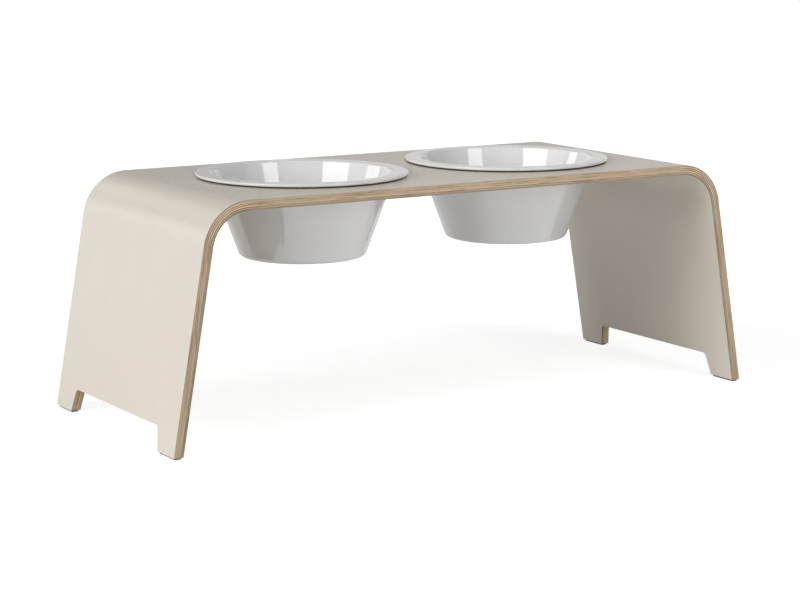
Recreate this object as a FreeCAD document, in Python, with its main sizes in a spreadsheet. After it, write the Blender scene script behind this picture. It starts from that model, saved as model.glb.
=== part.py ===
import FreeCAD, Part
import math
import os
import Sketcher

# A raised feeding station for a dog. A board of pressed veneers with a laminate on both faces is bent into
# a bench with leaning legs. Two bowls hang by their rims in holes in its top, each on a thin soft ring, and
# a thin pad lies under each of the four feet.
# The origin is on the floor under the middle of the bench. +X runs along the bench to the right, +Y to the
# back and +Z up. Lengths are in millimetres and angles in degrees.

VENEER_COUNT = 9

# Driving sizes: name, value and meaning
SIZES = [
    ("bench_height", 210.0, "underside of the feet to the top of the board"),
    ("leg_lean", 9.9, "lean of each leg away from upright"),
    ("bend_radius", 43.0, "outside radius of the bends"),
    ("laminate_thickness", 0.45, "one face laminate"),
    ("veneer_thickness", 0.9, "one veneer"),
    ("end_margin", 22.2, "flat board between a rim and the start of a bend"),
    ("side_margin", 25.0, "board between a rim and the front or back edge"),
    ("foot_width", 31.5, "width of a foot where it meets its pad"),
    ("notch_height", 20.5, "height of the cut between the feet of one leg"),
    ("notch_slant", 15.0, "slant of the sides of that cut away from upright"),
    ("notch_corner_radius", 4.0, "rounding of its upper corners"),
    ("pad_thickness", 1.5, "thickness of a foot pad"),
    ("pad_inset", 1.5, "distance of a pad's edge inside its foot's edge"),
    ("pad_corner_radius", 2.0, "rounding of a pad's corners"),
    ("hole_diameter", 170.0, "hole in the board for a bowl"),
    ("rim_overlap", 10.0, "reach of a rim past the edge of its hole"),
    ("rim_gap", 30.0, "space between the two rims"),
    ("rim_thickness", 2.6, "thickness of a rim"),
    ("rim_edge_radius", 1.15, "rounding of a rim's outer edge"),
    ("lip_radius", 2.0, "rounding from the rim into the bowl"),
    ("neck_clearance", 1.8, "space between a bowl's neck and its hole"),
    ("neck_fillet", 1.5, "fillet between neck and rim"),
    ("bowl_depth", 73.2, "underside of the rim to the base of the bowl"),
    ("bowl_slant", 20.0, "slant of the bowl's wall away from upright"),
    ("bowl_wall", 3.0, "thickness of the bowl's wall"),
    ("bowl_floor", 4.0, "base of the bowl to the inside of its floor"),
    ("base_corner_radius", 5.6, "outside rounding between wall and base"),
    ("inner_corner_radius", 8.0, "inside rounding between wall and floor"),
    ("foot_ring_width", 6.5, "ring that the bowl stands on when lifted out"),
    ("foot_ring_height", 0.8, "height of that ring"),
    ("ring_thickness", 1.4, "thickness of the soft ring under a rim"),
    ("ring_setback", 1.5, "distance of the ring inside the rim's edge"),
    ("ring_hole_margin", 0.5, "distance of the ring outside the hole's edge"),
]

# Sizes that follow from the driving sizes
LAYOUT = {
    "rim_radius": "Sizes.hole_diameter / 2 + Sizes.rim_overlap",
    "bowl_x": "Layout.rim_radius + Sizes.rim_gap / 2",
    "flat_half": "Layout.bowl_x + Layout.rim_radius + Sizes.end_margin",
    "half_depth": "Layout.rim_radius + Sizes.side_margin",
    "top_z": "Sizes.pad_thickness + Sizes.bench_height",
    "bend_centre_z": "Layout.top_z - Sizes.bend_radius",
    "leg_angle": "90 + Sizes.leg_lean",
    "leg_run": "(Sizes.bench_height - Sizes.bend_radius) * tan(Sizes.leg_lean * 1 deg)",
    "board_thickness": f"2 * Sizes.laminate_thickness + {VENEER_COUNT} * Sizes.veneer_thickness",
    "foot_outer_x": "Layout.flat_half + Sizes.bend_radius / cos(Sizes.leg_lean * 1 deg) + Layout.leg_run",
    "foot_depth": "Layout.board_thickness / cos(Sizes.leg_lean * 1 deg)",
    "foot_middle_x": "Layout.foot_outer_x - Layout.foot_depth / 2",
    "foot_middle_y": "Layout.half_depth - Sizes.foot_width / 2",
    "notch_angle": "90 + Sizes.notch_slant",
    "notch_top": "Sizes.pad_thickness + Sizes.notch_height",
    "notch_foot_half": "Layout.half_depth - Sizes.foot_width",
    "notch_floor_half": "Layout.notch_foot_half + Sizes.pad_thickness * tan(Sizes.notch_slant * 1 deg)",
    "pad_half_x": "Layout.foot_depth / 2 - Sizes.pad_inset",
    "pad_half_y": "Sizes.foot_width / 2 - Sizes.pad_inset",
    "neck_radius": "Sizes.hole_diameter / 2 - Sizes.neck_clearance",
    "wall_angle": "90 - Sizes.bowl_slant",
    "rim_edge": "min(Sizes.rim_edge_radius; 0.45 * Sizes.rim_thickness)",
    "ring_inner_radius": "Sizes.hole_diameter / 2 + Sizes.ring_hole_margin",
    "ring_outer_radius": "Layout.rim_radius - Sizes.ring_setback",
    "rim_z": "Layout.top_z + Sizes.ring_thickness",
}

# The sketch's own origin and axes, and the ends and centre of a line or arc
ORIGIN = -1
ACROSS = -1
UPWARD = -2
START = 1
END = 2
CENTRE = 3

doc = FreeCAD.newDocument("feeding_station")
sub_parts = []


def make_sizes():
    sheet = doc.addObject("Spreadsheet::Sheet", "Sizes")
    for row, (alias, value, meaning) in enumerate(SIZES, start=1):
        sheet.set(f"A{row}", meaning)
        sheet.set(f"B{row}", str(value))
        sheet.setAlias(f"B{row}", alias)
    doc.recompute()


def derive(name, formulas):
    """Keep sizes that follow from others, each bound to its formula."""
    values = doc.addObject("App::VarSet", name)
    for alias, formula in formulas.items():
        values.addProperty("App::PropertyFloat", alias)
        values.setExpression(alias, formula)
        doc.recompute()


def value_of(size):
    """Read a size by its full name, such as Sizes.bowl_wall."""
    holder, alias = size.split(".")
    return getattr(doc.getObject(holder), alias)


def make_body(label):
    body = doc.addObject("PartDesign::Body", label)
    body.Label = label
    sub_parts.append(body)
    return body


def place(body, x_size="0", y_size="0", z_size="0"):
    body.setExpression("Placement.Base.x", x_size)
    body.setExpression("Placement.Base.y", y_size)
    body.setExpression("Placement.Base.z", z_size)


def origin_feature(body, role):
    return next(feature for feature in body.Origin.OriginFeatures if feature.Role == role)


def sketch_on(body, role, name):
    sketch = body.newObject("Sketcher::SketchObject", name)
    sketch.AttachmentSupport = [(origin_feature(body, role), "")]
    sketch.MapMode = "FlatFace"
    return sketch


def constrain(sketch, kind, *targets):
    sketch.addConstraint(Sketcher.Constraint(kind, *targets))


def hold(sketch, kind, *targets, to):
    """Add a dimension and bind it to a named size."""
    index = sketch.addConstraint(Sketcher.Constraint(kind, *targets, value_of(to)))
    sketch.setExpression(f"Constraints[{index}]", to)


def hold_angle(sketch, line, to):
    """Hold a line's direction, counted from the sketch's first axis, to a named size."""
    index = sketch.addConstraint(Sketcher.Constraint("Angle", line, math.radians(value_of(to))))
    sketch.setExpression(f"Constraints[{index}]", f"{to} * 1 deg")


def draw_outline(sketch, corners):
    """Draw a closed outline through corners given as x, y and radius, with an arc where the radius isn't 0.

    Line number n runs from corner n to the next one. The arcs are returned by their corner's number.
    """
    points = [FreeCAD.Vector(x, y, 0) for x, y, radius in corners]
    count = len(corners)
    directions = []
    for n in range(count):
        directions.append((points[(n + 1) % count] - points[n]).normalize())
    half_turns = []
    trims = []
    for n in range(count):
        half_turns.append(directions[n - 1].getAngle(directions[n]) / 2)
        trims.append(corners[n][2] * math.tan(half_turns[n]))
    lines = []
    for n in range(count):
        after = (n + 1) % count
        start = points[n] + directions[n] * trims[n]
        end = points[after] - directions[n] * trims[after]
        lines.append(sketch.addGeometry(Part.LineSegment(start, end)))
    arcs = {}
    for n in range(count):
        radius = corners[n][2]
        before = lines[n - 1]
        if radius == 0:
            constrain(sketch, "Coincident", before, END, lines[n], START)
            continue
        inward = (directions[n] - directions[n - 1]).normalize()
        middle = points[n] + inward * (radius / math.cos(half_turns[n]) - radius)
        start = sketch.getPoint(before, END)
        end = sketch.getPoint(lines[n], START)
        arcs[n] = sketch.addGeometry(Part.Arc(start, middle, end))
        forward = sketch.getPoint(arcs[n], START).isEqual(start, radius / 100)
        first, last = (START, END) if forward else (END, START)
        constrain(sketch, "Tangent", before, END, arcs[n], first)
        constrain(sketch, "Tangent", arcs[n], last, lines[n], START)
    return lines, arcs


def pad_sketch(body, sketch, name, length, side):
    pad = body.newObject("PartDesign::Pad", name)
    pad.Profile = sketch
    pad.SideType = side
    pad.setExpression("Length", length)
    return pad


def cut_through(body, sketch, name):
    """Cut the sketch right through the body, both ways."""
    pocket = body.newObject("PartDesign::Pocket", name)
    pocket.Profile = sketch
    pocket.Type = "ThroughAll"
    pocket.SideType = "Symmetric"
    doc.recompute()
    if pocket.Shape.Volume >= pocket.BaseFeature.Shape.Volume:
        raise RuntimeError(f"{name} cuts nothing")


def depth_under_face(laminates, veneers):
    return f"({laminates} * Sizes.laminate_thickness + {veneers} * Sizes.veneer_thickness)"


def draw_bench_profile(sketch, faces):
    """Draw one bent layer as seen from the front, between its outer and its inner face."""
    lean = math.radians(value_of("Sizes.leg_lean"))
    flat_half = value_of("Layout.flat_half")
    foot_z = value_of("Sizes.pad_thickness")
    corners = []
    for radius_name in ("outer_radius", "inner_radius"):
        radius = value_of(f"{faces}.{radius_name}")
        foot_x = flat_half + radius / math.cos(lean) + value_of("Layout.leg_run")
        bend_x = flat_half + radius * math.tan((math.pi / 2 - lean) / 2)
        bend_z = value_of("Layout.bend_centre_z") + radius
        right = [(foot_x, foot_z, 0), (bend_x, bend_z, radius)]
        left = [(-x, z, corner_radius) for x, z, corner_radius in reversed(right)]
        face = right + left
        corners += face if radius_name == "outer_radius" else face[::-1]
    lines, arcs = draw_outline(sketch, corners)
    right_leg, top, left_leg, left_foot, left_inside, underside, right_inside, right_foot = lines
    right_bend, left_bend, left_inner_bend, right_inner_bend = (arcs[n] for n in (1, 2, 5, 6))
    constrain(sketch, "Symmetric", top, START, top, END, UPWARD)
    hold(sketch, "DistanceY", ORIGIN, START, top, START, to=f"{faces}.outer_top")
    hold(sketch, "DistanceX", ORIGIN, START, top, START, to="Layout.flat_half")
    hold(sketch, "Radius", right_bend, to=f"{faces}.outer_radius")
    constrain(sketch, "Equal", right_bend, left_bend)
    hold_angle(sketch, right_leg, to="Layout.leg_angle")
    hold(sketch, "DistanceY", ORIGIN, START, right_leg, START, to="Sizes.pad_thickness")
    constrain(sketch, "Symmetric", right_leg, START, left_leg, END, UPWARD)
    constrain(sketch, "Coincident", right_inner_bend, CENTRE, right_bend, CENTRE)
    constrain(sketch, "Coincident", left_inner_bend, CENTRE, left_bend, CENTRE)
    hold(sketch, "Radius", right_inner_bend, to=f"{faces}.inner_radius")
    constrain(sketch, "Equal", right_inner_bend, left_inner_bend)
    constrain(sketch, "Parallel", right_inside, right_leg)
    constrain(sketch, "Horizontal", right_foot)
    constrain(sketch, "Symmetric", right_inside, END, left_inside, START, UPWARD)


def draw_bowl_holes(sketch):
    centre_x = value_of("Layout.bowl_x")
    radius = value_of("Sizes.hole_diameter") / 2
    up = FreeCAD.Vector(0, 0, 1)
    right = sketch.addGeometry(Part.Circle(FreeCAD.Vector(centre_x, 0, 0), up, radius))
    left = sketch.addGeometry(Part.Circle(FreeCAD.Vector(-centre_x, 0, 0), up, radius))
    constrain(sketch, "PointOnObject", right, CENTRE, ACROSS)
    hold(sketch, "DistanceX", ORIGIN, START, right, CENTRE, to="Layout.bowl_x")
    hold(sketch, "Diameter", right, to="Sizes.hole_diameter")
    constrain(sketch, "Equal", right, left)
    constrain(sketch, "Symmetric", right, CENTRE, left, CENTRE, ORIGIN, START)


def draw_notch(sketch):
    """Draw the cut that leaves two feet on each leg, as seen from the end of the bench."""
    floor_half = value_of("Layout.notch_floor_half")
    top_z = value_of("Layout.notch_top")
    top_half = floor_half - top_z * math.tan(math.radians(value_of("Sizes.notch_slant")))
    radius = value_of("Sizes.notch_corner_radius")
    corners = [(floor_half, 0, 0), (top_half, top_z, radius), (-top_half, top_z, radius), (-floor_half, 0, 0)]
    lines, arcs = draw_outline(sketch, corners)
    right_side, top, left_side, floor = lines
    constrain(sketch, "Symmetric", floor, START, floor, END, UPWARD)
    constrain(sketch, "PointOnObject", floor, END, ACROSS)
    hold(sketch, "DistanceX", ORIGIN, START, right_side, START, to="Layout.notch_floor_half")
    hold_angle(sketch, right_side, to="Layout.notch_angle")
    constrain(sketch, "Symmetric", top, START, top, END, UPWARD)
    hold(sketch, "DistanceY", ORIGIN, START, top, START, to="Layout.notch_top")
    hold(sketch, "Radius", arcs[1], to="Sizes.notch_corner_radius")
    constrain(sketch, "Equal", arcs[1], arcs[2])


def make_layer(label, outer_depth, inner_depth):
    """Make one layer of the bent board between two depths under its outer face."""
    faces = f"{label}_faces"
    derive(faces, {
        "outer_radius": f"Sizes.bend_radius - {outer_depth}",
        "inner_radius": f"Sizes.bend_radius - {inner_depth}",
        "outer_top": f"Layout.top_z - {outer_depth}",
    })
    body = make_body(label)
    profile = sketch_on(body, "XZ_Plane", f"{label}_profile")
    draw_bench_profile(profile, faces)
    pad_sketch(body, profile, f"{label}_sheet", "2 * Layout.half_depth", "Symmetric")
    holes = sketch_on(body, "XY_Plane", f"{label}_hole_outlines")
    draw_bowl_holes(holes)
    cut_through(body, holes, f"{label}_holes")
    notch = sketch_on(body, "YZ_Plane", f"{label}_notch_outline")
    draw_notch(notch)
    cut_through(body, notch, f"{label}_notch")


def make_board():
    core_start = depth_under_face(1, 0)
    core_end = depth_under_face(1, VENEER_COUNT)
    make_layer("outer_laminate", depth_under_face(0, 0), core_start)
    for number in range(1, VENEER_COUNT + 1):
        make_layer(f"veneer_{number}", depth_under_face(1, number - 1), depth_under_face(1, number))
    make_layer("inner_laminate", core_end, depth_under_face(2, VENEER_COUNT))


def make_foot_pad(label, x_sign, y_sign):
    body = make_body(label)
    sketch = sketch_on(body, "XY_Plane", f"{label}_outline")
    half_x = value_of("Layout.pad_half_x")
    half_y = value_of("Layout.pad_half_y")
    radius = value_of("Sizes.pad_corner_radius")
    signs = [(1, -1), (1, 1), (-1, 1), (-1, -1)]
    lines, arcs = draw_outline(sketch, [(x * half_x, y * half_y, radius) for x, y in signs])
    right, back, left, front = lines
    constrain(sketch, "Vertical", right)
    constrain(sketch, "Horizontal", back)
    constrain(sketch, "Vertical", left)
    constrain(sketch, "Horizontal", front)
    hold(sketch, "Radius", arcs[0], to="Sizes.pad_corner_radius")
    for n in (1, 2, 3):
        constrain(sketch, "Equal", arcs[0], arcs[n])
    hold(sketch, "DistanceX", ORIGIN, START, right, START, to="Layout.pad_half_x")
    hold(sketch, "DistanceY", ORIGIN, START, back, START, to="Layout.pad_half_y")
    constrain(sketch, "Symmetric", right, START, left, START, ORIGIN, START)
    pad_sketch(body, sketch, f"{label}_sheet", "Sizes.pad_thickness", "One side")
    place(body, f"{x_sign} * Layout.foot_middle_x", f"{y_sign} * Layout.foot_middle_y")


def make_bowl_ring(label, x_sign):
    body = make_body(label)
    sketch = sketch_on(body, "XY_Plane", f"{label}_outline")
    for size in ("Layout.ring_outer_radius", "Layout.ring_inner_radius"):
        circle = Part.Circle(FreeCAD.Vector(0, 0, 0), FreeCAD.Vector(0, 0, 1), value_of(size))
        edge = sketch.addGeometry(circle)
        constrain(sketch, "Coincident", edge, CENTRE, ORIGIN, START)
        hold(sketch, "Radius", edge, to=size)
    pad_sketch(body, sketch, f"{label}_sheet", "Sizes.ring_thickness", "One side")
    place(body, f"{x_sign} * Layout.bowl_x", z_size="Layout.top_z")


def draw_bowl_section(sketch):
    """Draw half of a bowl's section, its axis upright and the underside of its rim at height 0."""
    slope = math.tan(math.radians(value_of("Sizes.bowl_slant")))
    wall_across = value_of("Sizes.bowl_wall") / math.cos(math.radians(value_of("Sizes.bowl_slant")))
    neck_radius = value_of("Layout.neck_radius")
    rim_radius = value_of("Layout.rim_radius")
    rim_edge = value_of("Layout.rim_edge")
    rim_top = value_of("Sizes.rim_thickness")
    base_z = -value_of("Sizes.bowl_depth")
    floor_z = base_z + value_of("Sizes.bowl_floor")
    recess_z = base_z + value_of("Sizes.foot_ring_height")
    base_radius = neck_radius + slope * base_z
    base_corner = value_of("Sizes.base_corner_radius")
    recess_radius = base_radius - base_corner - value_of("Sizes.foot_ring_width")
    inner_radius = neck_radius - wall_across
    lines, arcs = draw_outline(sketch, [
        (0, recess_z, 0),
        (recess_radius, recess_z, 0),
        (recess_radius, base_z, 0),
        (base_radius, base_z, base_corner),
        (neck_radius, 0, value_of("Sizes.neck_fillet")),
        (rim_radius, 0, rim_edge),
        (rim_radius, rim_top, rim_edge),
        (inner_radius + slope * rim_top, rim_top, value_of("Sizes.lip_radius")),
        (inner_radius + slope * floor_z, floor_z, value_of("Sizes.inner_corner_radius")),
        (0, floor_z, 0),
    ])
    recess, recess_side, foot_ring, wall, rim_under, rim_side, rim_face, inside, floor, axis = lines
    constrain(sketch, "PointOnObject", axis, START, UPWARD)
    constrain(sketch, "PointOnObject", axis, END, UPWARD)
    for level in (recess, foot_ring, rim_under, rim_face, floor):
        constrain(sketch, "Horizontal", level)
    for upright in (recess_side, rim_side):
        constrain(sketch, "Vertical", upright)
    constrain(sketch, "PointOnObject", rim_under, START, ACROSS)
    hold(sketch, "DistanceY", rim_under, END, rim_face, START, to="Sizes.rim_thickness")
    hold(sketch, "DistanceX", ORIGIN, START, rim_side, START, to="Layout.rim_radius")
    hold(sketch, "Radius", arcs[5], to="Layout.rim_edge")
    constrain(sketch, "Equal", arcs[5], arcs[6])
    hold_angle(sketch, wall, to="Layout.wall_angle")
    neck = sketch.addGeometry(Part.Point(FreeCAD.Vector(neck_radius, 0, 0)), True)
    constrain(sketch, "PointOnObject", neck, START, wall)
    constrain(sketch, "PointOnObject", neck, START, ACROSS)
    hold(sketch, "DistanceX", ORIGIN, START, neck, START, to="Layout.neck_radius")
    hold(sketch, "Radius", arcs[4], to="Sizes.neck_fillet")
    hold(sketch, "DistanceY", foot_ring, START, ORIGIN, START, to="Sizes.bowl_depth")
    hold(sketch, "Radius", arcs[3], to="Sizes.base_corner_radius")
    hold(sketch, "DistanceY", recess_side, END, recess_side, START, to="Sizes.foot_ring_height")
    hold(sketch, "DistanceX", foot_ring, START, foot_ring, END, to="Sizes.foot_ring_width")
    hold(sketch, "DistanceY", foot_ring, START, floor, END, to="Sizes.bowl_floor")
    hold(sketch, "Radius", arcs[8], to="Sizes.inner_corner_radius")
    hold(sketch, "Radius", arcs[7], to="Sizes.lip_radius")
    constrain(sketch, "Parallel", inside, wall)
    hold(sketch, "Distance", inside, START, wall, to="Sizes.bowl_wall")


def make_bowl(label, x_sign):
    body = make_body(label)
    section = sketch_on(body, "XZ_Plane", f"{label}_section")
    draw_bowl_section(section)
    turned = body.newObject("PartDesign::Revolution", f"{label}_turned")
    turned.Profile = section
    turned.ReferenceAxis = (origin_feature(body, "Z_Axis"), [""])
    turned.Angle = 360
    place(body, f"{x_sign} * Layout.bowl_x", z_size="Layout.rim_z")


def check_document():
    for item in doc.Objects:
        if "Invalid" in item.State or "Error" in item.State:
            raise RuntimeError(f"{item.Label} failed: {item.State}")
    for body in sub_parts:
        if body.Shape.isNull() or not body.Shape.isValid() or len(body.Shape.Solids) != 1:
            raise RuntimeError(f"{body.Label} is not one valid solid")


def write_parts():
    os.makedirs("parts", exist_ok=True)
    for body in sub_parts:
        body.Shape.exportStep(f"parts/{body.Label}.step")


make_sizes()
derive("Layout", LAYOUT)
make_board()
for side, x_sign in (("left", -1), ("right", 1)):
    make_bowl_ring(f"{side}_bowl_ring", x_sign)
    make_bowl(f"{side}_bowl", x_sign)
    make_foot_pad(f"front_{side}_foot_pad", x_sign, -1)
    make_foot_pad(f"back_{side}_foot_pad", x_sign, 1)
doc.recompute()
check_document()
write_parts()
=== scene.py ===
"""Looks of the dog feeding station, a bent plywood bench with two glazed bowls, in metres."""

import math

import bmesh
import bpy
from mathutils import Matrix, Vector


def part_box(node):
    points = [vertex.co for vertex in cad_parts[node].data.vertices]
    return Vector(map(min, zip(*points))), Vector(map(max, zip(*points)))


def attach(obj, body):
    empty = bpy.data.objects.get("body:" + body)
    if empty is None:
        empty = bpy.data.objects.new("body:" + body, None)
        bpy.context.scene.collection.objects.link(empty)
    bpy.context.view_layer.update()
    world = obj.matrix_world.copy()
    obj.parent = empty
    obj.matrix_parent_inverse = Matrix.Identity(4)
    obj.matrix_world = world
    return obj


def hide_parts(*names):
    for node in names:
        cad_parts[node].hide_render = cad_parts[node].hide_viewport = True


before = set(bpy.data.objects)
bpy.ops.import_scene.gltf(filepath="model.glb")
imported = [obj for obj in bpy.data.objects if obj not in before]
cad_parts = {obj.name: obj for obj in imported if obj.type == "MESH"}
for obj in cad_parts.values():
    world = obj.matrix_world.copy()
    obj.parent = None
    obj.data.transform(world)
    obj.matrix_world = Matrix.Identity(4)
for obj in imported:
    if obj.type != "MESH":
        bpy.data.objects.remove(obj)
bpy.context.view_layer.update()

MM = 0.001

# Bench sizes that the boxes of the parts don't give
BEND_RADIUS = 43 * MM
LEG_LEAN = math.radians(9.9)
LAMINATE_THICKNESS = 0.45 * MM
VENEER_THICKNESS = 0.9 * MM
VENEER_COUNT = 9
BOARD_THICKNESS = 2 * LAMINATE_THICKNESS + VENEER_COUNT * VENEER_THICKNESS
HOLE_RADIUS = 85 * MM
FOOT_WIDTH = 31.5 * MM
NOTCH_HEIGHT = 20.5 * MM
NOTCH_SLANT = math.radians(15)
NOTCH_CORNER_RADIUS = 4 * MM
LAMINATE_EASE = 0.2 * MM

# Bowl, ring and pad sizes that the boxes of the parts don't give
RIM_THICKNESS = 2.6 * MM
RIM_EDGE_RADIUS = 1.15 * MM
LIP_RADIUS = 2 * MM
NECK_CLEARANCE = 1.8 * MM
NECK_FILLET = 1.5 * MM
BOWL_SLANT = math.radians(20)
BOWL_WALL = 3 * MM
BOWL_FLOOR = 4 * MM
BASE_CORNER_RADIUS = 5.6 * MM
INNER_CORNER_RADIUS = 8 * MM
FOOT_RING_WIDTH = 6.5 * MM
FOOT_RING_HEIGHT = 0.8 * MM
FOOT_RING_EASE = 0.35 * MM
RING_HOLE_MARGIN = 0.5 * MM
RING_EASE = 0.5 * MM
PAD_CORNER_RADIUS = 0.8 * MM
PAD_EASE = 0.15 * MM

# Fineness of the meshes
HOLE_STEPS = 120
BEND_STEPS = 28
ARC_STEPS = 8
BOWL_STEPS = 192
FLAT_SUPPORT = 1.5 * MM
EASE_STEPS = 2
ROUND_PROFILE = 0.5
SHARP_ANGLE = math.radians(35)
SAME_PLACE = 1e-6

# Regions of the developed board
FLAT, BEND, LEG = "flat", "bend", "leg"

bench_low, bench_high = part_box("outer_laminate")
FOOT_Z = bench_low.z
TOP_Z = bench_high.z
HALF_DEPTH = bench_high.y
BEND_CENTRE_Z = TOP_Z - BEND_RADIUS
BEND_ANGLE = math.pi / 2 - LEG_LEAN
LEG_RUN = (BEND_CENTRE_Z - FOOT_Z) * math.tan(LEG_LEAN)
FLAT_HALF = bench_high.x - BEND_RADIUS / math.cos(LEG_LEAN) - LEG_RUN


def middle_of(node):
    """Return the middle of a part's box."""
    low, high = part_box(node)
    return (low + high) / 2


BOWL_X = middle_of("right_bowl").x


def rounded_path(corners, closed=False):
    """Return points along a path of (across, up, radius) corners, with an arc at each rounded corner."""
    points = []
    count = len(corners)
    for number, (across, up, radius) in enumerate(corners):
        corner = Vector((across, up))
        at_end = not closed and number in (0, count - 1)
        if at_end or radius == 0:
            points.append(corner)
            continue
        before = (Vector(corners[number - 1][:2]) - corner).normalized()
        after = (Vector(corners[(number + 1) % count][:2]) - corner).normalized()
        half_angle = before.angle(after) / 2
        reach = radius / math.tan(half_angle)
        centre = corner + (before + after).normalized() * radius / math.sin(half_angle)
        start = corner + before * reach - centre
        turn = math.pi - 2 * half_angle
        side = 1 if before.x * after.y - before.y * after.x < 0 else -1
        for step in range(ARC_STEPS + 1):
            angle = side * turn * step / ARC_STEPS
            points.append(centre + Matrix.Rotation(angle, 2) @ start)
    return points


def bend_spot(step, y):
    """Return the place of a point on a bend, whose first step is the end of the flat top."""
    if step == 0:
        return FLAT, FLAT_HALF, y
    return BEND, BEND_ANGLE * step / BEND_STEPS, y


class Sheet:
    """Points and faces of the developed board, laid out in the same way for each layer of it."""

    def __init__(self, half_depth, hole_radius):
        self.half_depth = half_depth
        self.hole_radius = hole_radius
        self.spots = []
        self.found = {}
        self.faces = []
        for side in (1, -1):
            self.add_top(side)
            self.add_bend(side)
            self.add_leg(side)

    def spot(self, region, side, value, y):
        """Return the number of a point, which is made once. Points at the middle belong to both sides."""
        if region == FLAT:
            side, value = 1, side * value
        key = (region, side, round(value / SAME_PLACE), round(y / SAME_PLACE))
        if key not in self.found:
            self.found[key] = len(self.spots)
            self.spots.append((region, side, value, y))
        return self.found[key]

    def add_face(self, side, spots):
        """Add a face, turned round on the left side, which mirrors the right one."""
        numbers = [self.spot(region, side, value, y) for region, value, y in spots]
        self.faces.append(numbers if side > 0 else numbers[::-1])

    def add_top(self, side):
        """Add half of the flat top, as rays from its bowl hole to the half's outline."""
        near, far = 0, FLAT_HALF - FLAT_SUPPORT
        corner_angles = [
            math.atan2(y, x - BOWL_X) % math.tau
            for x in (near, far)
            for y in (self.half_depth, -self.half_depth)
        ]
        plain_angles = [math.tau * step / HOLE_STEPS for step in range(HOLE_STEPS)]
        closest = math.tau / HOLE_STEPS / 2
        angles = corner_angles + [
            angle for angle in plain_angles if min(abs(angle - corner) for corner in corner_angles) > closest
        ]
        inner, outer = [], []
        for angle in sorted(angles):
            ray_x, ray_y = math.cos(angle), math.sin(angle)
            reaches = [self.half_depth / max(abs(ray_y), SAME_PLACE)]
            reaches.append((far - BOWL_X if ray_x > 0 else BOWL_X - near) / max(abs(ray_x), SAME_PLACE))
            reach = min(reaches)
            inner.append((FLAT, BOWL_X + self.hole_radius * ray_x, self.hole_radius * ray_y))
            outer.append((FLAT, BOWL_X + reach * ray_x, reach * ray_y))
        for number in range(len(inner)):
            other = (number + 1) % len(inner)
            self.add_face(side, [inner[number], outer[number], outer[other], inner[other]])
        edge = sorted([spot for spot in outer if abs(spot[1] - far) < SAME_PLACE], key=lambda spot: -spot[2])
        corners = [(FLAT, FLAT_HALF, -self.half_depth), (FLAT, FLAT_HALF, self.half_depth)]
        self.add_face(side, corners + edge)

    def add_bend(self, side):
        """Add one bend as strips across the board."""
        depth = self.half_depth
        for step in range(BEND_STEPS):
            strip = [(step, -depth), (step + 1, -depth), (step + 1, depth), (step, depth)]
            self.add_face(side, [bend_spot(*place) for place in strip])

    def add_leg(self, side):
        """Add one leg as a face with the notch between its two feet."""
        foot_half = HALF_DEPTH - FOOT_WIDTH
        notch_half = foot_half - NOTCH_HEIGHT * math.tan(NOTCH_SLANT)
        notch_top = FOOT_Z + NOTCH_HEIGHT
        notch = rounded_path([
            (-foot_half, FOOT_Z, 0),
            (-notch_half, notch_top, NOTCH_CORNER_RADIUS),
            (notch_half, notch_top, NOTCH_CORNER_RADIUS),
            (foot_half, FOOT_Z, 0),
        ])
        foot = [(LEG, FOOT_Z, -self.half_depth)]
        foot += [(LEG, point.y, point.x) for point in notch]
        foot += [(LEG, FOOT_Z, self.half_depth)]
        front_end = bend_spot(BEND_STEPS, -self.half_depth)
        back_end = bend_spot(BEND_STEPS, self.half_depth)
        self.add_face(side, [front_end, *foot, back_end])


def on_board(spot, depth):
    """Return a point's place, its place in the developed board and the board's direction there."""
    region, side, value, y = spot
    radius = BEND_RADIUS - depth
    if region == FLAT:
        return Vector((value, y, TOP_Z - depth)), Vector((value, y, depth)), Vector((1, 0, 0))
    if region == BEND:
        across = FLAT_HALF + radius * math.sin(value)
        up = BEND_CENTRE_Z + radius * math.cos(value)
        length = FLAT_HALF + BEND_RADIUS * value
        angle = value
    else:
        fall = (BEND_CENTRE_Z + radius * math.sin(LEG_LEAN) - value) / math.cos(LEG_LEAN)
        across = FLAT_HALF + radius * math.cos(LEG_LEAN) + fall * math.sin(LEG_LEAN)
        up = value
        length = FLAT_HALF + BEND_RADIUS * BEND_ANGLE + fall
        angle = BEND_ANGLE
    along = Vector((math.cos(angle), 0, -side * math.sin(angle)))
    return Vector((side * across, y, up)), Vector((side * length, y, depth)), along


def finish_mesh(piece):
    """Shade a piece smooth between its sharp edges, with its large faces kept flat."""
    mesh = piece.data
    mesh.polygons.foreach_set("use_smooth", [True] * len(mesh.polygons))
    mesh.set_sharp_from_angle(angle=SHARP_ANGLE)
    normals = piece.modifiers.new("even_shading", "WEIGHTED_NORMAL")
    normals.keep_sharp = True


def make_piece(name, points, faces):
    """Return a new object with the given points and faces."""
    mesh = bpy.data.meshes.new(name)
    mesh.from_pydata(points, [], faces)
    mesh.validate()
    piece = bpy.data.objects.new(name, mesh)
    bpy.context.scene.collection.objects.link(piece)
    return piece


def set_attribute(mesh, name, kind, field, values):
    """Give a mesh one value or vector for each point."""
    attribute = mesh.attributes.new(name, kind, "POINT")
    flat_values = [number for value in values for number in value]
    attribute.data.foreach_set(field, flat_values)


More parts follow.
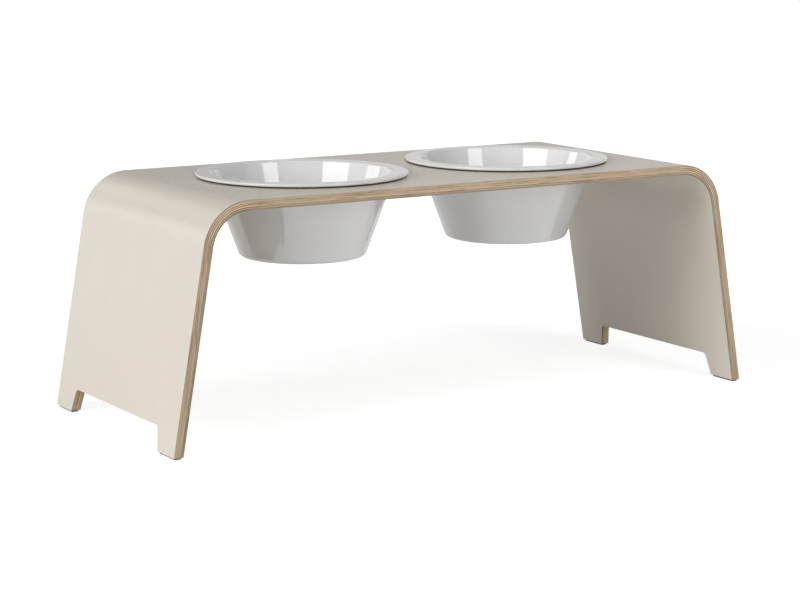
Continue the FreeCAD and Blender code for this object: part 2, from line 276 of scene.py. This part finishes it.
def make_layer(name, outer_depth, inner_depth, recess=0, eased_face=None, tone=1.0):
    """Return one layer of the board, as a closed sheet between two depths under the outer face."""
    sheet = Sheet(HALF_DEPTH - recess, HOLE_RADIUS + recess)
    count = len(sheet.spots)
    placed = [on_board(spot, outer_depth) for spot in sheet.spots]
    placed += [on_board(spot, inner_depth) for spot in sheet.spots]
    outer_faces = [list(face) for face in sheet.faces]
    inner_faces = [[number + count for number in face[::-1]] for face in sheet.faces]
    edges = {(face[number - 1], face[number]) for face in sheet.faces for number in range(len(face))}
    walls = [
        [start, start + count, end + count, end]
        for start, end in sorted(edges)
        if (end, start) not in edges
    ]
    piece = make_piece(name, [place for place, _, _ in placed], outer_faces + inner_faces + walls)
    set_attribute(piece.data, "sheet", "FLOAT_VECTOR", "vector", [spread for _, spread, _ in placed])
    set_attribute(piece.data, "along", "FLOAT_VECTOR", "vector", [along for _, _, along in placed])
    set_attribute(piece.data, "tone", "FLOAT", "value", [(tone,)] * len(placed))
    if eased_face is not None:
        ease_face(piece, eased_face, len(sheet.faces))
    finish_mesh(piece)
    return piece


def ease_face(piece, eased_face, face_count):
    """Round the edge between a layer's walls and its outer or inner face."""
    editing = bmesh.new()
    editing.from_mesh(piece.data)
    editing.faces.ensure_lookup_table()
    first = 0 if eased_face == "outer" else face_count
    shown = set(editing.faces[first:first + face_count])
    walls = set(editing.faces[2 * face_count:])
    rims = [edge for edge in editing.edges if shown & set(edge.link_faces) and walls & set(edge.link_faces)]
    bmesh.ops.bevel(
        editing, geom=rims, offset=LAMINATE_EASE, offset_type="OFFSET", segments=EASE_STEPS,
        profile=ROUND_PROFILE, affect="EDGES", clamp_overlap=True,
    )
    editing.to_mesh(piece.data)
    editing.free()


def turn_section(name, section, centre, closed):
    """Return a piece turned from a section of (radius, height) points about an upright axis."""
    points, rows = [], []
    for radius, height in section:
        if radius < SAME_PLACE:
            rows.append([len(points)] * BOWL_STEPS)
            points.append((centre.x, centre.y, height))
            continue
        rows.append(range(len(points), len(points) + BOWL_STEPS))
        for step in range(BOWL_STEPS):
            angle = math.tau * step / BOWL_STEPS
            points.append((centre.x + radius * math.cos(angle), centre.y + radius * math.sin(angle), height))
    faces = []
    for number in range(len(rows) if closed else len(rows) - 1):
        low, high = rows[number], rows[(number + 1) % len(rows)]
        for step in range(BOWL_STEPS):
            other = (step + 1) % BOWL_STEPS
            face = [low[step], low[other], high[other], high[step]]
            faces.append(list(dict.fromkeys(face)))
    piece = make_piece(name, points, faces)
    finish_mesh(piece)
    return piece


def make_bowl(name, node):
    """Return a bowl: foot ring, slanted wall, flat rim with rounded edges, inside and floor."""
    low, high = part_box(node)
    rim_radius = (high.x - low.x) / 2
    rim_under = high.z - RIM_THICKNESS
    slope = math.tan(BOWL_SLANT)
    neck_radius = HOLE_RADIUS - NECK_CLEARANCE
    base_radius = neck_radius + slope * (low.z - rim_under)
    recess_radius = base_radius - BASE_CORNER_RADIUS - FOOT_RING_WIDTH
    inner_radius = neck_radius - BOWL_WALL / math.cos(BOWL_SLANT)
    floor_z = low.z + BOWL_FLOOR
    recess_z = low.z + FOOT_RING_HEIGHT
    section = rounded_path([
        (0, recess_z, 0),
        (recess_radius, recess_z, FOOT_RING_EASE),
        (recess_radius, low.z, FOOT_RING_EASE),
        (base_radius, low.z, BASE_CORNER_RADIUS),
        (neck_radius, rim_under, NECK_FILLET),
        (rim_radius, rim_under, RIM_EDGE_RADIUS),
        (rim_radius, high.z, RIM_EDGE_RADIUS),
        (inner_radius + slope * RIM_THICKNESS, high.z, LIP_RADIUS),
        (inner_radius + slope * (floor_z - rim_under), floor_z, INNER_CORNER_RADIUS),
        (0, floor_z, 0),
    ])
    return turn_section(name, section, middle_of(node), False)


def make_ring(name, node):
    """Return the soft ring between a bowl's rim and the bench top."""
    low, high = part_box(node)
    outer_radius = (high.x - low.x) / 2
    inner_radius = HOLE_RADIUS + RING_HOLE_MARGIN
    section = rounded_path([
        (inner_radius, low.z, RING_EASE),
        (outer_radius, low.z, RING_EASE),
        (outer_radius, high.z, RING_EASE),
        (inner_radius, high.z, RING_EASE),
    ], closed=True)
    return turn_section(name, section, middle_of(node), True)


def make_pad(name, node):
    """Return a foot pad: a rounded rectangle with eased edges."""
    low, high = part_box(node)
    middle = middle_of(node)
    half_x, half_y = (high.x - low.x) / 2, (high.y - low.y) / 2
    levels = [(low.z, PAD_EASE), (low.z + PAD_EASE, 0), (high.z - PAD_EASE, 0), (high.z, PAD_EASE)]
    points = []
    for height, inset in levels:
        x, y, radius = half_x - inset, half_y - inset, PAD_CORNER_RADIUS - inset
        corners = [(-x, -y, radius), (x, -y, radius), (x, y, radius), (-x, y, radius)]
        outline = rounded_path(corners, closed=True)
        points += [(middle.x + point.x, middle.y + point.y, height) for point in outline]
    count = len(points) // len(levels)
    faces = [list(range(count))[::-1], list(range(len(points) - count, len(points)))]
    for level in range(len(levels) - 1):
        for step in range(count):
            other = (step + 1) % count
            low_row, high_row = level * count, (level + 1) * count
            faces.append([low_row + step, low_row + other, high_row + other, high_row + step])
    piece = make_piece(name, points, faces)
    finish_mesh(piece)
    return piece


# Sockets of the mixing step: its share, two plain values, two colours, and the mixed colour
MIX_SHARE = 0
MIX_VALUES = (2, 3)
MIX_COLOURS = (6, 7)
MIXED_COLOUR = 2

# Sockets of the surface shader whose names differ from their plain words
SOCKETS = {"Ior": "IOR", "Specular Level": "Specular IOR Level"}

# How far a noise is worked out, and how much its finer parts count
PLAIN_DETAIL = 2.0
PLAIN_ROUGHNESS = 0.5
RICH_DETAIL = 3.0
RICH_ROUGHNESS = 0.6

# Parts of a noise's range: nearly all of it, and its middle
WIDE_RANGE = (0.3, 0.7)
MIDDLE_RANGE = (0.35, 0.65)


class Finish:
    """A material or background whose steps are added one at a time."""

    def __init__(self, owner):
        self.material = bpy.data.materials.new(owner) if isinstance(owner, str) else owner
        self.material.use_nodes = True
        self.tree = self.material.node_tree
        self.tree.nodes.clear()

    def feed(self, socket, value):
        """Link a socket to another step's result, or set its plain value."""
        if isinstance(value, bpy.types.NodeSocket):
            self.tree.links.new(value, socket)
        else:
            socket.default_value = value

    def step(self, kind, inputs, result=0, **settings):
        """Add a step with the given inputs and return one of its results."""
        node = self.tree.nodes.new(kind)
        for name, value in settings.items():
            setattr(node, name, value)
        for key, value in inputs.items():
            self.feed(node.inputs[key], value)
        return node.outputs[result]

    def math(self, operation, first, second=0.0):
        """Add one step of arithmetic."""
        return self.step("ShaderNodeMath", {0: first, 1: second}, operation=operation)

    def spread(self, value, low, high, to_low=0.0, to_high=1.0):
        """Map a value's range to another range, smoothly and clamped."""
        inputs = {"Value": value, "From Min": low, "From Max": high, "To Min": to_low, "To Max": to_high}
        return self.step("ShaderNodeMapRange", inputs, interpolation_type="SMOOTHSTEP")

    def noise(self, place, scale, detail=PLAIN_DETAIL, roughness=PLAIN_ROUGHNESS):
        """Add a noise over a place, whose scale is cells for each metre along each direction."""
        stretched = self.step("ShaderNodeVectorMath", {0: place, 1: scale}, operation="MULTIPLY")
        inputs = {"Vector": stretched, "Scale": 1.0, "Detail": detail, "Roughness": roughness}
        return self.step("ShaderNodeTexNoise", inputs)

    def mix(self, share, first, second):
        """Mix two colours."""
        inputs = {MIX_SHARE: share, MIX_COLOURS[0]: first, MIX_COLOURS[1]: second}
        return self.step("ShaderNodeMix", inputs, MIXED_COLOUR, data_type="RGBA")

    def blend(self, share, first, second):
        """Mix two plain values."""
        inputs = {MIX_SHARE: share, MIX_VALUES[0]: first, MIX_VALUES[1]: second}
        return self.step("ShaderNodeMix", inputs, data_type="FLOAT")

    def dim(self, hue, share):
        """Make a colour darker or lighter by a share."""
        return self.step("ShaderNodeVectorMath", {0: hue, "Scale": share}, operation="SCALE")

    def part(self, vector, axis):
        """Return one part of a vector."""
        return self.step("ShaderNodeSeparateXYZ", {0: vector}, axis)

    def nearness(self, first, second):
        """Return the cosine of the angle between two directions."""
        return self.step("ShaderNodeVectorMath", {0: first, 1: second}, "Value", operation="DOT_PRODUCT")

    def attribute(self, name, result):
        """Read a value that the mesh carries for each point."""
        return self.step("ShaderNodeAttribute", {}, result, attribute_name=name)

    def place(self):
        """Read the place on the piece, in metres."""
        return self.step("ShaderNodeTexCoord", {}, "Object")

    def light_path(self):
        """Return the results that tell what kind of ray meets the surface."""
        return self.tree.nodes.new("ShaderNodeLightPath").outputs

    def facing(self, direction):
        """Return how far the surface faces along a direction of its piece, either way, from 0 to 1."""
        normal = self.step("ShaderNodeTexCoord", {}, "Normal")
        return self.math("ABSOLUTE", self.nearness(normal, direction))

    def bump(self, height, distance, strength):
        """Raise the surface by a height between 0 and 1."""
        return self.step("ShaderNodeBump", {"Strength": strength, "Distance": distance, "Height": height})

    def surface(self, **inputs):
        """Add the surface shader and finish the material."""
        sockets = {}
        for key, value in inputs.items():
            name = key.replace("_", " ").title()
            sockets[SOCKETS.get(name, name)] = value
        self.show(self.step("ShaderNodeBsdfPrincipled", sockets))
        return self.material

    def show(self, shader, kind="ShaderNodeOutputMaterial"):
        """Send a shader to the output."""
        output = self.tree.nodes.new(kind)
        self.tree.links.new(shader, output.inputs["Surface"])


def colour(red, green, blue):
    """Return a colour with full cover."""
    return red, green, blue, 1.0


def even(scale):
    """Return the same scale along each direction."""
    return scale, scale, scale


WHITE = colour(1, 1, 1)
DEPTH_DIRECTION = (0, 1, 0)

# Cream laminate: its clouds and specks, its fine relief, and the brown core that shows where the sheet is cut
CREAM_DEEP = colour(0.697, 0.638, 0.553)
CREAM_PALE = colour(0.707, 0.648, 0.563)
CREAM_CLOUD_SCALE = 22
SPECK_COLOUR = colour(0.55, 0.50, 0.43)
SPECK_SCALE = 1500
SPECK_RANGE = (0.35, 0.75)
SPECK_SHARE = 0.10
CORE_COLOUR = (0.55, 0.45, 0.345)
# The inner sheet's brown core is dimmed further: painted shade along the board's inner side
INNER_CORE_SHADE = 0.7
CUT_FACING = (0.5, 0.85)
PEARL_SCALE = 900
PEARL_HEIGHT = 0.03 * MM
PEARL_STRENGTH = 0.5
LAMINATE_ROUGHNESS = (0.26, 0.36)
LAMINATE_SPECULAR = 0.4


def laminate_finish():
    """Return the cream laminate: satin, finely textured, faintly uneven in tone, with a brown cut edge,
    darker on the inner sheet as painted shade.
    """
    finish = Finish("cream_laminate")
    place = finish.place()
    grain = finish.noise(place, even(SPECK_SCALE), RICH_DETAIL, RICH_ROUGHNESS)
    cloud = finish.noise(place, even(CREAM_CLOUD_SCALE), RICH_DETAIL)
    base = finish.mix(finish.spread(cloud, *WIDE_RANGE), CREAM_DEEP, CREAM_PALE)
    speck = finish.mix(finish.spread(grain, *SPECK_RANGE, 0.0, SPECK_SHARE), base, SPECK_COLOUR)
    along = finish.attribute("along", "Vector")
    through = finish.step("ShaderNodeVectorMath", {0: along, 1: DEPTH_DIRECTION}, operation="CROSS_PRODUCT")
    cut = finish.spread(finish.facing(through), *CUT_FACING, 1.0, 0.0)
    # The layer's tone dims the inner sheet's core: painted shade
    core = finish.dim(CORE_COLOUR, finish.attribute("tone", "Fac"))
    pearl = finish.noise(place, even(PEARL_SCALE))
    return finish.surface(
        base_color=finish.mix(cut, speck, core),
        roughness=finish.spread(grain, *WIDE_RANGE, *LAMINATE_ROUGHNESS),
        specular_level=LAMINATE_SPECULAR,
        normal=finish.bump(pearl, PEARL_HEIGHT, PEARL_STRENGTH),
    )


# Wood's tone along the board: the end of the bends, the blur of the changes, and the tone of the legs
BEND_END = FLAT_HALF + BEND_RADIUS * BEND_ANGLE
BEND_BLUR = 9 * MM
LEG_TONE = 0.95

# Bare birch: warm patches, darker streaks, pores at the fibres' ends and glue lines
WOOD_IOR = 1.4
WOOD_ROUGHNESS = (0.55, 0.75)
FIBRE_DETAIL = 4.0
FIBRE_RANGE = (0.32, 0.68)
FIBRE_HEIGHT = 0.05 * MM
FIBRE_STRENGTH = 0.6
WARM_WOOD = colour(0.66, 0.445, 0.30)
WARM_SCALE = (34, 34, 800)
WARM_RANGE = (0.4, 0.66)
WARM_SHARE = 0.3
STREAK_WOOD = colour(0.36, 0.235, 0.13)
STREAK_SCALE = (38, 38, 1300)
STREAK_RANGE = (0.5, 0.66)
STREAK_SHARE = 0.85
PORE_WOOD = colour(0.19, 0.12, 0.065)
PORE_SCALE = 2600
PORE_RANGE = (0.52, 0.66)
PORE_SHARE = 0.4
GLUED_WOOD = colour(0.2, 0.13, 0.07)
GLUE_RANGE = (0.42, 0.5)
GLUE_SHARE = 0.35
LAYER_MIDDLE = 0.5

# Veneers with fibres across the board, which show their ends at its front edge, and along it
ACROSS_PALE = colour(0.66, 0.519, 0.351)
ACROSS_DEEP = colour(0.539, 0.416, 0.275)
ACROSS_BEND_TONE = 0.66
ACROSS_FIBRES = (900, 60, 2600)
ALONG_PALE = colour(0.77, 0.621, 0.445)
ALONG_DEEP = colour(0.682, 0.5415, 0.374)
ALONG_BEND_TONE = 1.26
ALONG_FIBRES = (55, 900, 2600)

# Tone of each veneer and how far its edge stands back, from the outer face inwards. The tones differ at
# random, and the three inner veneers are darker still: painted shade along the board's inner side
VENEER_TONES_AND_SHADE = [1.08, 0.98, 1.01, 0.94, 1.1, 1.06, 0.82, 0.81, 0.74]
VENEER_RECESSES = [0.02 * MM, 0.0, 0.03 * MM, 0.01 * MM, 0.03 * MM, 0.0, 0.02 * MM, 0.01 * MM, 0.03 * MM]


def run_tone(finish, sheet, bend_tone):
    """Return the wood's tone along the board: 1 on the flat top, then the bends' tone, then the legs'."""
    length = finish.math("ABSOLUTE", finish.part(sheet, "X"))
    bent = finish.spread(length, FLAT_HALF - BEND_BLUR, FLAT_HALF + BEND_BLUR, 1.0, bend_tone)
    on_leg = finish.spread(length, BEND_END - BEND_BLUR, BEND_END + BEND_BLUR)
    return finish.blend(on_leg, bent, LEG_TONE)


def glue_share(finish, sheet):
    """Return a share that rises at the glue lines, where one veneer meets the next."""
    under_laminate = finish.math("SUBTRACT", finish.part(sheet, "Z"), LAMINATE_THICKNESS)
    layers = finish.math("DIVIDE", under_laminate, VENEER_THICKNESS)
    in_layer = finish.math("SUBTRACT", finish.math("FRACT", layers), LAYER_MIDDLE)
    return finish.spread(finish.math("ABSOLUTE", in_layer), *GLUE_RANGE, 0.0, GLUE_SHARE)


def veneer_finish(name, pale, deep, bend_tone, fibre_scale, end_direction=None):
    """Return bare birch veneer, whose fibres end along the board unless another direction is given."""
    finish = Finish(name)
    sheet = finish.attribute("sheet", "Vector")
    fibre = finish.noise(sheet, fibre_scale, FIBRE_DETAIL, RICH_ROUGHNESS)
    base = finish.mix(finish.spread(fibre, *FIBRE_RANGE), deep, pale)
    warmth = finish.noise(sheet, WARM_SCALE)
    warm = finish.mix(finish.spread(warmth, *WARM_RANGE, 0.0, WARM_SHARE), base, WARM_WOOD)
    streak = finish.noise(sheet, STREAK_SCALE, RICH_DETAIL, RICH_ROUGHNESS)
    streaked = finish.mix(finish.spread(streak, *STREAK_RANGE, 0.0, STREAK_SHARE), warm, STREAK_WOOD)
    if end_direction is None:
        end_direction = finish.attribute("along", "Vector")
    pores = finish.spread(finish.noise(sheet, even(PORE_SCALE)), *PORE_RANGE, 0.0, PORE_SHARE)
    dots = finish.math("MULTIPLY", pores, finish.facing(end_direction))
    pored = finish.mix(dots, streaked, PORE_WOOD)
    glued = finish.mix(glue_share(finish, sheet), pored, GLUED_WOOD)
    # The layer's tone holds painted shade on the three inner veneers
    tone = finish.math("MULTIPLY", run_tone(finish, sheet, bend_tone), finish.attribute("tone", "Fac"))
    return finish.surface(
        base_color=finish.dim(glued, tone),
        roughness=finish.spread(fibre, *WIDE_RANGE, *WOOD_ROUGHNESS),
        ior=WOOD_IOR,
        normal=finish.bump(fibre, FIBRE_HEIGHT, FIBRE_STRENGTH),
    )


# White glaze with a faint waviness, and the bare clay under it, by height over the foot ring's end
GLAZE_DEEP = colour(0.76, 0.76, 0.755)
GLAZE_PALE = colour(0.78, 0.78, 0.775)
GLAZE_CLOUD_SCALE = 30
GLAZE_IOR = 1.85
GLAZE_ROUGHNESS = (0.012, 0.028)
GLOSS_SCALE = 140
WAVE_SCALE = 45
WAVE_DETAIL = 1.0
WAVE_HEIGHT = 0.008 * MM
WAVE_STRENGTH = 0.5
CLAY_DEEP = colour(0.58, 0.54, 0.47)
CLAY_PALE = colour(0.66, 0.62, 0.55)
CLAY_SCALE = 2400
CLAY_ROUGHNESS = 0.6
BARE_BELOW = 0.25 * MM
GLAZED_ABOVE = 0.55 * MM


def glaze_finish():
    """Return the white glaze, with a faint waviness and bare clay on the foot ring."""
    finish = Finish("white_glaze")
    place = finish.place()
    base_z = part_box("left_bowl")[0].z
    bare = finish.spread(finish.part(place, "Z"), base_z + BARE_BELOW, base_z + GLAZED_ABOVE, 1.0, 0.0)
    cloud = finish.noise(place, even(GLAZE_CLOUD_SCALE))
    glaze = finish.mix(finish.spread(cloud, *WIDE_RANGE), GLAZE_DEEP, GLAZE_PALE)
    grain = finish.noise(place, even(CLAY_SCALE), RICH_DETAIL)
    clay = finish.mix(finish.spread(grain, *MIDDLE_RANGE), CLAY_DEEP, CLAY_PALE)
    glossy = finish.spread(finish.noise(place, even(GLOSS_SCALE)), *WIDE_RANGE, *GLAZE_ROUGHNESS)
    wave = finish.noise(place, even(WAVE_SCALE), WAVE_DETAIL)
    return finish.surface(
        base_color=finish.mix(bare, glaze, clay),
        roughness=finish.math("ADD", glossy, finish.math("MULTIPLY", bare, CLAY_ROUGHNESS)),
        ior=GLAZE_IOR,
        normal=finish.bump(wave, WAVE_HEIGHT, WAVE_STRENGTH),
    )


# Rubber of the pads and of the softer rings
PAD_DEEP = colour(0.013, 0.012, 0.01)
PAD_PALE = colour(0.026, 0.024, 0.021)
PAD_GRAIN_SCALE = 1800
RING_DEEP = colour(0.035, 0.033, 0.028)
RING_PALE = colour(0.06, 0.056, 0.048)
RING_GRAIN_SCALE = 1400
RUBBER_ROUGHNESS = (0.6, 0.8)
RUBBER_HEIGHT = 0.06 * MM
RUBBER_STRENGTH = 0.6


def rubber_finish(name, deep, pale, scale):
    """Return dark rubber with a fine moulded texture."""
    finish = Finish(name)
    grain = finish.noise(finish.place(), even(scale), RICH_DETAIL)
    return finish.surface(
        base_color=finish.mix(finish.spread(grain, *MIDDLE_RANGE), deep, pale),
        roughness=finish.spread(grain, *WIDE_RANGE, *RUBBER_ROUGHNESS),
        normal=finish.bump(grain, RUBBER_HEIGHT, RUBBER_STRENGTH),
    )


FLOOR_HALF = 6.0
FLOOR_DROP = 0.1 * MM

# Share of its light that the floor gives back to the object
FLOOR_BOUNCE = 0.89

# Glow of the floor near the object and far from it, and the distances where these end and start
FLOOR_GLOW = (0.80, 1.0)
FLOOR_GLOW_REACH = (0.35, 1.0)

# Glow of the floor in glossy surfaces, in front and behind, and the places where these end and start
MIRRORED_FLOOR_GLOW = (0.72, 0.45)
MIRRORED_FLOOR_REACH = (-0.2, 0.05)

# How strongly the floor shows the light and shadow on it, as it is seen and as it is mirrored
FLOOR_SHADE = (0.45, 1.0)


def seen_share(finish):
    """Return 1 for rays that show the background: from the camera, mirrored or passed through."""
    path = finish.light_path()
    mirrored = finish.math("MAXIMUM", path["Is Camera Ray"], path["Is Glossy Ray"])
    return finish.math("MAXIMUM", mirrored, path["Is Transmission Ray"])


def make_floor():
    """Make the pale floor, which keeps a faint shadow and is clear from below."""
    half = FLOOR_HALF
    corners = [(-half, -half), (half, -half), (half, half), (-half, half)]
    floor = make_piece("floor", [(x, y, -FLOOR_DROP) for x, y in corners], [[0, 1, 2, 3]])
    finish = Finish("pale_floor")
    place = finish.step("ShaderNodeNewGeometry", {}, "Position")
    distance = finish.step("ShaderNodeVectorMath", {0: place}, "Value", operation="LENGTH")
    mirrored = finish.light_path()["Is Glossy Ray"]
    plain_glow = finish.spread(distance, *FLOOR_GLOW_REACH, *FLOOR_GLOW)
    mirrored_glow = finish.spread(finish.part(place, "Y"), *MIRRORED_FLOOR_REACH, *MIRRORED_FLOOR_GLOW)
    glow = finish.blend(mirrored, plain_glow, mirrored_glow)
    lit = finish.step("ShaderNodeEmission", {"Color": WHITE, "Strength": glow})
    shaded = finish.step("ShaderNodeBsdfDiffuse", {"Color": finish.spread(mirrored, 0.0, 1.0, *FLOOR_SHADE)})
    seen = finish.step("ShaderNodeAddShader", {0: lit, 1: shaded})
    plain = finish.step("ShaderNodeBsdfDiffuse", {"Color": colour(*even(FLOOR_BOUNCE))})
    upper = finish.step("ShaderNodeMixShader", {0: seen_share(finish), 1: plain, 2: seen})
    clear = finish.step("ShaderNodeBsdfTransparent", {})
    below = finish.step("ShaderNodeNewGeometry", {}, "Backfacing")
    finish.show(finish.step("ShaderNodeMixShader", {0: below, 1: upper, 2: clear}))
    floor.data.materials.append(finish.material)


# Light of the background on the object, and its brightness in glossy surfaces: white at the horizon,
# fading to a dimmer studio at a height given as the sine of its elevation
AMBIENT = 0.02
MIRRORED_SKY = 0.4
MIRRORED_FADE = 0.25

# Dark panels that glossy surfaces mirror: azimuth from the front, elevation, the cosines of the angles
# from their middles where they start and where they are full, and the share of light that they leave
DARK_PANELS = [(80, 15, 0.85, 0.94, 0.0), (160, 10, 0.9877, 0.9903, 0.68)]


def outward(azimuth, elevation):
    """Return the direction with an azimuth from the front and an elevation, both in degrees."""
    turn, rise = math.radians(azimuth), math.radians(elevation)
    return Vector((math.sin(turn) * math.cos(rise), -math.cos(turn) * math.cos(rise), math.sin(rise)))


def make_world():
    """Make a white background that gives little light and is dimmer overhead in mirrored surfaces."""
    world = bpy.data.worlds.new("studio")
    bpy.context.scene.world = world
    finish = Finish(world)
    path = finish.light_path()
    direction = finish.step("ShaderNodeTexCoord", {}, "Generated")
    mirrored = finish.spread(finish.part(direction, "Z"), 0.0, MIRRORED_FADE, 1.0, MIRRORED_SKY)
    for azimuth, elevation, start, full, dimmed in DARK_PANELS:
        nearness = finish.nearness(direction, outward(azimuth, elevation))
        mirrored = finish.math("MULTIPLY", mirrored, finish.spread(nearness, start, full, 1.0, dimmed))
    shown = finish.math("MAXIMUM", path["Is Glossy Ray"], path["Is Transmission Ray"])
    plain = finish.blend(shown, AMBIENT, mirrored)
    strength = finish.blend(path["Is Camera Ray"], plain, 1.0)
    background = finish.step("ShaderNodeBackground", {"Color": WHITE, "Strength": strength})
    finish.show(background, "ShaderNodeOutputWorld")


LAMP_AIM = Vector((0, 0, 0.15))

# Studio boxes: azimuth from the front, elevation, width and height, all as angles, then distance,
# power in watts, and whether glossy surfaces mirror the box
LAMPS = [
    ("front_box", 16.5, 29, 19, 14, 4.5, 14.5, True),
    ("left_box", -80, 29, 33, 30, 4.5, 67, True),
    ("third_box", -141.5, 14.5, 24, 13, 4.5, 14, True),
    ("gap_box", -114, 22, 30, 24, 4.5, 9, True),
    ("bend_box", -171, 24, 18, 12, 4.5, 4.8, True),
    ("left_low_fill", -88, 12, 16, 16, 4.5, 64, False),
    ("front_fill", 16, 12, 24, 20, 4.5, 39, False),
    ("front_left_fill", -83, 4, 8, 8, 4.5, 8, False),
    ("right_fill", 90, 1, 50, 6, 4.5, 56, False),
    ("back_fill", 180, 10, 40, 16, 4.5, 40, False),
    ("upper_fill", 20, 62, 30, 30, 0.8, 2.05, False),
]


def make_lamps():
    """Make the studio boxes round the object."""
    for name, azimuth, elevation, width, height, distance, power, mirrored in LAMPS:
        lamp = bpy.data.lights.new(name, "AREA")
        lamp.shape = "RECTANGLE"
        lamp.size = 2 * distance * math.tan(math.radians(width / 2))
        lamp.size_y = 2 * distance * math.tan(math.radians(height / 2))
        lamp.energy = power
        lamp.cycles.use_multiple_importance_sampling = mirrored
        holder = bpy.data.objects.new(name, lamp)
        direction = outward(azimuth, elevation)
        holder.location = LAMP_AIM + direction * distance
        holder.rotation_euler = direction.to_track_quat("Z", "Y").to_euler()
        holder.visible_camera = False
        holder.visible_glossy = mirrored
        bpy.context.scene.collection.objects.link(holder)


CAMERA_PLACE = (-1.1105, -1.7903, 0.4646)
CAMERA_YAW = math.radians(31.64)
CAMERA_PITCH = math.radians(10.13)
CAMERA_LENS = 103.9
SENSOR_WIDTH = 36


def make_camera():
    """Place the camera in front of the object, to its left and a little above it."""
    data = bpy.data.cameras.new("camera")
    data.sensor_width = SENSOR_WIDTH
    data.lens = CAMERA_LENS
    camera = bpy.data.objects.new("camera", data)
    camera.location = CAMERA_PLACE
    level = math.cos(CAMERA_PITCH)
    forward = Vector((math.sin(CAMERA_YAW) * level, math.cos(CAMERA_YAW) * level, -math.sin(CAMERA_PITCH)))
    camera.rotation_euler = forward.to_track_quat("-Z", "Y").to_euler()
    bpy.context.scene.collection.objects.link(camera)
    bpy.context.scene.camera = camera


def install(piece, node, body, material):
    """Let a finished piece stand for its part and move with its body."""
    piece.data.materials.append(material)
    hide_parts(node)
    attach(piece, body)


def build_veneers():
    """Build the nine veneers, whose fibres run across and along the board in turn."""
    across = veneer_finish(
        "veneer_across", ACROSS_PALE, ACROSS_DEEP, ACROSS_BEND_TONE, ACROSS_FIBRES, DEPTH_DIRECTION
    )
    along = veneer_finish("veneer_along", ALONG_PALE, ALONG_DEEP, ALONG_BEND_TONE, ALONG_FIBRES)
    for number in range(1, VENEER_COUNT + 1):
        outer_depth = LAMINATE_THICKNESS + (number - 1) * VENEER_THICKNESS
        # Each veneer's tone, whose inner ones carry painted shade
        piece = make_layer(
            f"veneer_{number}_finish", outer_depth, outer_depth + VENEER_THICKNESS,
            recess=VENEER_RECESSES[number - 1], tone=VENEER_TONES_AND_SHADE[number - 1],
        )
        odd = number % 2 == 1
        install(piece, f"veneer_{number}", "bench", across if odd else along)


def build_bench():
    """Build the layers of the board and the pads under its feet."""
    laminate = laminate_finish()
    outer = make_layer("outer_laminate_finish", 0, LAMINATE_THICKNESS, eased_face="outer")
    install(outer, "outer_laminate", "bench", laminate)
    build_veneers()
    # The inner sheet's cut edge carries painted shade
    inner = make_layer(
        "inner_laminate_finish", BOARD_THICKNESS - LAMINATE_THICKNESS, BOARD_THICKNESS,
        eased_face="inner", tone=INNER_CORE_SHADE,
    )
    install(inner, "inner_laminate", "bench", laminate)
    rubber = rubber_finish("pad_rubber", PAD_DEEP, PAD_PALE, PAD_GRAIN_SCALE)
    for depth_side in ("front", "back"):
        for side in ("left", "right"):
            node = f"{depth_side}_{side}_foot_pad"
            install(make_pad(f"{node}_finish", node), node, "bench", rubber)


def build_bowls():
    """Build both bowls and the soft rings under their rims."""
    glaze = glaze_finish()
    soft = rubber_finish("soft_rubber", RING_DEEP, RING_PALE, RING_GRAIN_SCALE)
    for side in ("left", "right"):
        bowl, ring = f"{side}_bowl", f"{side}_bowl_ring"
        install(make_bowl(f"{bowl}_finish", bowl), bowl, bowl, glaze)
        install(make_ring(f"{ring}_finish", ring), ring, f"{side}_ring", soft)


build_bench()
build_bowls()
make_floor()
make_world()
make_lamps()
make_camera()
bpy.context.scene.view_settings.view_transform = "Standard"
